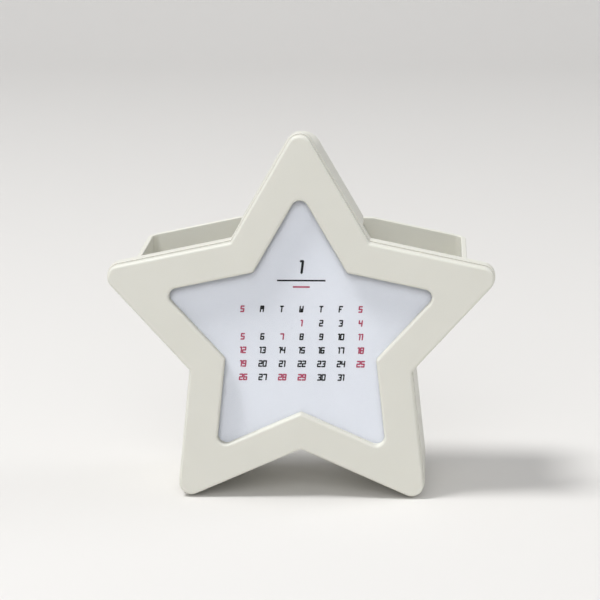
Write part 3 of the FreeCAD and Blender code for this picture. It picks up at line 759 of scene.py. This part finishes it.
# %% [markdown]
# ## Clear PET sheet, die-cut
# PET film has an index of about 1.57 and is almost free of colour. Extruded sheet is never quite flat:
# waves a few centimetres long bend its reflections, and a coat against glare holds those back to about
# a fourteenth, which keeps the ink below it black. Light has to reach the card through the sheet, and a
# renderer treats glass as opaque to lamps, so rays that only ask about shadow pass straight through.

# %% Clear PET
PET_TINT = "#FDFEFE"
PET_COAT = "#4C4C4C"
SHEET_WAVE = 35 * MM
WAVE_HEIGHT = 0.05 * MM
SCUFF_LENGTH = 1.5 * MM


def extruded_pet():
    material, place = new_material("clear_pet_extruded")
    waves = add_node(material, "ShaderNodeTexNoise", {
        "Vector": place, "Scale": per_metre(SHEET_WAVE), "Detail": 1.0})
    scuffs = add_node(material, "ShaderNodeTexNoise", {
        "Vector": place, "Scale": per_metre(SCUFF_LENGTH), "Detail": 5.0})
    rough = add_node(material, "ShaderNodeMapRange", {
        "Value": scuffs.outputs["Fac"], "From Min": 0.45, "From Max": 0.75, "To Min": 0.03, "To Max": 0.09})
    relief = add_node(material, "ShaderNodeBump", {
        "Height": waves.outputs["Fac"], "Distance": WAVE_HEIGHT, "Strength": 0.5})
    glassy = add_node(material, "ShaderNodeBsdfPrincipled", {
        "Base Color": linear(PET_TINT), "Roughness": rough.outputs["Result"],
        "Normal": relief.outputs["Normal"], "IOR": 1.57, "Specular Tint": linear(PET_COAT),
        "Transmission Weight": 1.0})
    through = add_node(material, "ShaderNodeBsdfTransparent", {"Color": linear(PET_TINT)})
    shadow = add_node(material, "ShaderNodeLightPath").outputs["Is Shadow Ray"]
    shader = add_node(material, "ShaderNodeMixShader", {
        0: shadow, 1: glassy.outputs["BSDF"], 2: through.outputs["BSDF"]})
    return finish_with(material, shader.outputs["Shader"])


clear_pet = extruded_pet()

# %% [markdown]
# ## Coated card and printed ink
# The cards are white board with a clay coating and a cool brightener. Under the coating the fibres still
# show as a faint cloudiness a millimetre or two wide. Ink is a very thin film of pigment in oil: it is a
# little glossier than the card, and it lies less evenly where the fibres come through.

# %% Card and inks
CARD_WHITE = "#E2E3EA"
CARD_SHADE = "#DCDEE6"
FIBRE_CLOUD = 1.6 * MM
FIBRE_GRAIN = 0.3 * MM
FIBRE_HEIGHT = 0.006 * MM
INK_COLOURS = {"black": ("#08090B", "#141519"), "red": ("#A83A58", "#B4506A")}
INK_MOTTLE = 0.35 * MM
INK_SHINE = 0.25


def coated_card():
    material, place = new_material("clay_coated_card")
    cloud = add_node(material, "ShaderNodeTexNoise", {
        "Vector": place, "Scale": per_metre(FIBRE_CLOUD), "Detail": 4.0})
    grain = add_node(material, "ShaderNodeTexNoise", {
        "Vector": place, "Scale": per_metre(FIBRE_GRAIN), "Detail": 2.0})
    colour = add_node(material, "ShaderNodeMix", {
        MIX_FACTOR: cloud.outputs["Fac"],
        MIX_A: linear(CARD_WHITE), MIX_B: linear(CARD_SHADE)}, data_type="RGBA")
    rough = add_node(material, "ShaderNodeMapRange", {
        "Value": cloud.outputs["Fac"], "To Min": 0.5, "To Max": 0.65})
    relief = add_node(material, "ShaderNodeBump", {
        "Height": grain.outputs["Fac"], "Distance": FIBRE_HEIGHT, "Strength": 0.4})
    shader = add_node(material, "ShaderNodeBsdfPrincipled", {
        "Base Color": colour.outputs[MIXED], "Roughness": rough.outputs["Result"],
        "Normal": relief.outputs["Normal"], "IOR": 1.5})
    return finish_with(material, shader.outputs["BSDF"])


def offset_ink(name, full, thin):
    material, place = new_material(name)
    mottle = add_node(material, "ShaderNodeTexNoise", {
        "Vector": place, "Scale": per_metre(INK_MOTTLE), "Detail": 2.0})
    cover = add_node(material, "ShaderNodeMapRange", {
        "Value": mottle.outputs["Fac"], "From Min": 0.45, "From Max": 0.8})
    colour = add_node(material, "ShaderNodeMix", {
        MIX_FACTOR: cover.outputs["Result"], MIX_A: linear(full), MIX_B: linear(thin)}, data_type="RGBA")
    rough = add_node(material, "ShaderNodeMapRange", {
        "Value": mottle.outputs["Fac"], "To Min": 0.3, "To Max": 0.5})
    shader = add_node(material, "ShaderNodeBsdfPrincipled", {
        "Base Color": colour.outputs[MIXED], "Roughness": rough.outputs["Result"], "IOR": 1.52,
        "Specular IOR Level": INK_SHINE})
    return finish_with(material, shader.outputs["BSDF"])


card = coated_card()
ink_finishes = {}
for colour, (full, thin) in INK_COLOURS.items():
    ink_finishes[colour] = offset_ink("offset_ink_" + colour, full, thin)

# %% [markdown]
# ## Nickel, zinc, acetal and rubber
# Nickel plate is a warm grey mirror dulled by handling; zinc plate is cooler, and tumbling in bulk leaves
# fine dents. Acetal is a milky, waxy plastic with an index of 1.48. The feet are black rubber that wears
# grey and takes no shine. Metals keep the default index, because metallic shading sets its own mirror.

# %% Plated metals
NICKEL_BRIGHT = "#C9C5BB"
NICKEL_DULL = "#A9A59B"
ZINC_BRIGHT = "#BFC3C8"
ZINC_DULL = "#8F9398"
HANDLING_MARK = 1.2 * MM
TUMBLE_DENT = 0.4 * MM
DENT_DEPTH = 0.01 * MM


def plated(name, bright, dull, mark, smooth, worn):
    material, place = new_material(name)
    marks = add_node(material, "ShaderNodeTexNoise", {
        "Vector": place, "Scale": per_metre(mark), "Detail": 4.0})
    colour = add_node(material, "ShaderNodeMix", {
        MIX_FACTOR: marks.outputs["Fac"], MIX_A: linear(bright), MIX_B: linear(dull)}, data_type="RGBA")
    rough = add_node(material, "ShaderNodeMapRange", {
        "Value": marks.outputs["Fac"], "To Min": smooth, "To Max": worn})
    relief = add_node(material, "ShaderNodeBump", {
        "Height": marks.outputs["Fac"], "Distance": DENT_DEPTH, "Strength": 0.4})
    shader = add_node(material, "ShaderNodeBsdfPrincipled", {
        "Base Color": colour.outputs[MIXED], "Roughness": rough.outputs["Result"],
        "Normal": relief.outputs["Normal"], "Metallic": 1.0})
    return finish_with(material, shader.outputs["BSDF"])


nickel = plated("nickel_plate_ground", NICKEL_BRIGHT, NICKEL_DULL, HANDLING_MARK, smooth=0.16, worn=0.34)
zinc = plated("zinc_plate_tumbled", ZINC_BRIGHT, ZINC_DULL, TUMBLE_DENT, smooth=0.26, worn=0.44)

# %% Acetal and rubber
ACETAL_WHITE = "#ECEBE4"
ACETAL_SHADE = "#E0DFD6"
RUNNER_MARK = 6 * MM
ACETAL_SCATTER = 1.5 * MM
RUBBER_BLACK = "#2B2B2C"
RUBBER_WORN = "#47474A"
RUBBER_GRAIN = 0.6 * MM
RUBBER_RELIEF = 0.03 * MM


def moulded_acetal():
    material, place = new_material("white_acetal_moulded")
    marks = add_node(material, "ShaderNodeTexNoise", {
        "Vector": place, "Scale": per_metre(RUNNER_MARK), "Detail": 3.0})
    colour = add_node(material, "ShaderNodeMix", {
        MIX_FACTOR: marks.outputs["Fac"],
        MIX_A: linear(ACETAL_WHITE), MIX_B: linear(ACETAL_SHADE)}, data_type="RGBA")
    rough = add_node(material, "ShaderNodeMapRange", {
        "Value": marks.outputs["Fac"], "To Min": 0.28, "To Max": 0.42})
    shader = add_node(material, "ShaderNodeBsdfPrincipled", {
        "Base Color": colour.outputs[MIXED], "Roughness": rough.outputs["Result"], "IOR": 1.48,
        "Subsurface Weight": 0.15, "Subsurface Scale": ACETAL_SCATTER,
        "Subsurface Radius": (1.0, 0.95, 0.85)})
    return finish_with(material, shader.outputs["BSDF"])


def moulded_rubber():
    material, place = new_material("black_rubber_moulded")
    grain = add_node(material, "ShaderNodeTexNoise", {
        "Vector": place, "Scale": per_metre(RUBBER_GRAIN), "Detail": 4.0})
    colour = add_node(material, "ShaderNodeMix", {
        MIX_FACTOR: grain.outputs["Fac"],
        MIX_A: linear(RUBBER_BLACK), MIX_B: linear(RUBBER_WORN)}, data_type="RGBA")
    rough = add_node(material, "ShaderNodeMapRange", {
        "Value": grain.outputs["Fac"], "To Min": 0.75, "To Max": 0.95})
    relief = add_node(material, "ShaderNodeBump", {
        "Height": grain.outputs["Fac"], "Distance": RUBBER_RELIEF, "Strength": 0.6})
    shader = add_node(material, "ShaderNodeBsdfPrincipled", {
        "Base Color": colour.outputs[MIXED], "Roughness": rough.outputs["Result"],
        "Normal": relief.outputs["Normal"], "IOR": 1.52})
    return finish_with(material, shader.outputs["BSDF"])


acetal = moulded_acetal()
rubber = moulded_rubber()

# %% [markdown]
# ## Hand out the finishes
# Parts that kept their construction mesh get their finish through the record's own slot names, so a
# part that is added to the model later finds its finish by itself. The new pieces are told one by one.

# %% Assign
SLOT_FINISHES = {
    "ivory_abs": ivory_abs,
    "clear_sheet": clear_pet,
    "card_stock": card,
    "nickel_magnet": nickel,
    "steel_screw": zinc,
    "white_acetal": acetal,
    "foot_rubber": rubber,
}


def wear(piece, finish):
    piece.data.materials.clear()
    piece.data.materials.append(finish)


for part in frame["record"]["subparts"]:
    wear(nodes[part["node"]], SLOT_FINISHES[part["material_slot"]])
for piece in (star_frame, *dividers):
    wear(piece, ivory_abs)
for piece in (wall_screws, cover_screw):
    wear(piece, zinc)
for piece in magnets:
    wear(piece, nickel)
for piece in pads:
    wear(piece, rubber)
for colour, piece in prints.items():
    wear(piece, ink_finishes[colour])
wear(clear_sheet, clear_pet)

# %% [markdown]
# # Stage, light and camera
# A pale sweep stands in for a table: a floor that curves up into a backdrop, so that no hard line cuts
# the picture. It is uncoated paper, matt and very faintly cloudy. The stage is as large as a room, so
# it and the lamps are written in metres. The key lamp hangs high on the left, just in front of the
# plane of the star's face, so it lights the upper edges and the lips of the window far more than the
# face. Sky and a broad lamp in front keep the face soft and even, and a weak lamp behind the right side
# draws the edges there.

# %% Sweep
SWEEP_COLOUR = "#E1DFDC"
SWEEP_HALF_WIDTH = 5.0
SWEEP_FRONT_Y = -5.0
SWEEP_BACK_Y = 1.4
SWEEP_RADIUS = 0.9
SWEEP_HEIGHT = 2.6
SWEEP_STEPS = 16
PAPER_CLOUD = 0.4


def seamless_paper():
    material, place = new_material("seamless_paper")
    cloud = add_node(material, "ShaderNodeTexNoise", {
        "Vector": place, "Scale": per_metre(PAPER_CLOUD), "Detail": 2.0})
    rough = add_node(material, "ShaderNodeMapRange", {
        "Value": cloud.outputs["Fac"], "To Min": 0.8, "To Max": 0.95})
    shader = add_node(material, "ShaderNodeBsdfPrincipled", {
        "Base Color": linear(SWEEP_COLOUR), "Roughness": rough.outputs["Result"]})
    return finish_with(material, shader.outputs["BSDF"])


profile = [(SWEEP_FRONT_Y, 0.0)]
for step in range(SWEEP_STEPS + 1):
    angle = math.pi / 2 * step / SWEEP_STEPS
    profile.append((SWEEP_BACK_Y + SWEEP_RADIUS * math.sin(angle), SWEEP_RADIUS * (1 - math.cos(angle))))
profile.append((SWEEP_BACK_Y + SWEEP_RADIUS, SWEEP_HEIGHT))
work = bmesh.new()
edges = [[work.verts.new((side * SWEEP_HALF_WIDTH, y, z)) for y, z in profile] for side in (-1, 1)]
for step in range(len(profile) - 1):
    work.faces.new((edges[0][step], edges[1][step], edges[1][step + 1], edges[0][step + 1]))
sweep = as_object("paper_sweep", work)
wear(sweep, seamless_paper())

# %% Light
SKY_COLOUR = "#F4F6FA"
SKY_STRENGTH = 0.41
STAR_MIDDLE = Vector((0, 0, STAR_Z))


def soft_lamp(name, place, size, power):
    lamp = bpy.data.lights.new(name, "AREA")
    lamp.shape = "DISK"
    lamp.size = size
    lamp.energy = power
    stand = bpy.data.objects.new(name, lamp)
    stand.location = place
    stand.rotation_euler = (STAR_MIDDLE - stand.location).to_track_quat("-Z", "Y").to_euler()
    bpy.context.scene.collection.objects.link(stand)


soft_lamp("key_softbox", Vector((-0.98, -0.36, 2.3)), size=0.75, power=43.0)
soft_lamp("front_fill", Vector((-0.15, -2.4, 1.5)), size=2.0, power=21.5)
soft_lamp("right_rim", Vector((1.5, 0.35, 1.2)), size=1.0, power=5.0)
world = bpy.data.worlds.new("studio_sky")
world.use_nodes = True
world.node_tree.nodes["Background"].inputs["Color"].default_value = linear(SKY_COLOUR)
world.node_tree.nodes["Background"].inputs["Strength"].default_value = SKY_STRENGTH
bpy.context.scene.world = world
bpy.context.scene.view_settings.view_transform = "Standard"

# %% [markdown]
# ## Camera
# The calendar is looked at from a little above and a metre away, with a long lens that keeps its
# outlines calm; Blender gives the lens in millimetres. The camera's three angles are turned into the
# directions of its own axes, which is easier to check than three Euler angles.

# %% Place the camera
CAMERA_PLACE = Vector((54.5, -1029.0, 308.7)) * MM
CAMERA_PITCH = math.radians(12.59)
CAMERA_YAW = math.radians(3.12)
CAMERA_ROLL = math.radians(-0.34)
FOCAL_LENGTH = 149.77

ahead = Vector((
    -math.sin(CAMERA_YAW) * math.cos(CAMERA_PITCH),
    math.cos(CAMERA_YAW) * math.cos(CAMERA_PITCH),
    -math.sin(CAMERA_PITCH),
))
level = Vector((math.cos(CAMERA_YAW), math.sin(CAMERA_YAW), 0))
above = level.cross(ahead)
right = math.cos(CAMERA_ROLL) * level + math.sin(CAMERA_ROLL) * above
above = right.cross(ahead)
lens = bpy.data.cameras.new("desk_camera")
lens.lens = FOCAL_LENGTH
camera = bpy.data.objects.new("desk_camera", lens)
facing = Matrix((right, above, -ahead)).transposed().to_4x4()
camera.matrix_world = Matrix.Translation(CAMERA_PLACE) @ facing
bpy.context.scene.collection.objects.link(camera)
bpy.context.scene.camera = camera
print("camera", round((CAMERA_PLACE - STAR_MIDDLE).length / MM), "mm from the star's middle")
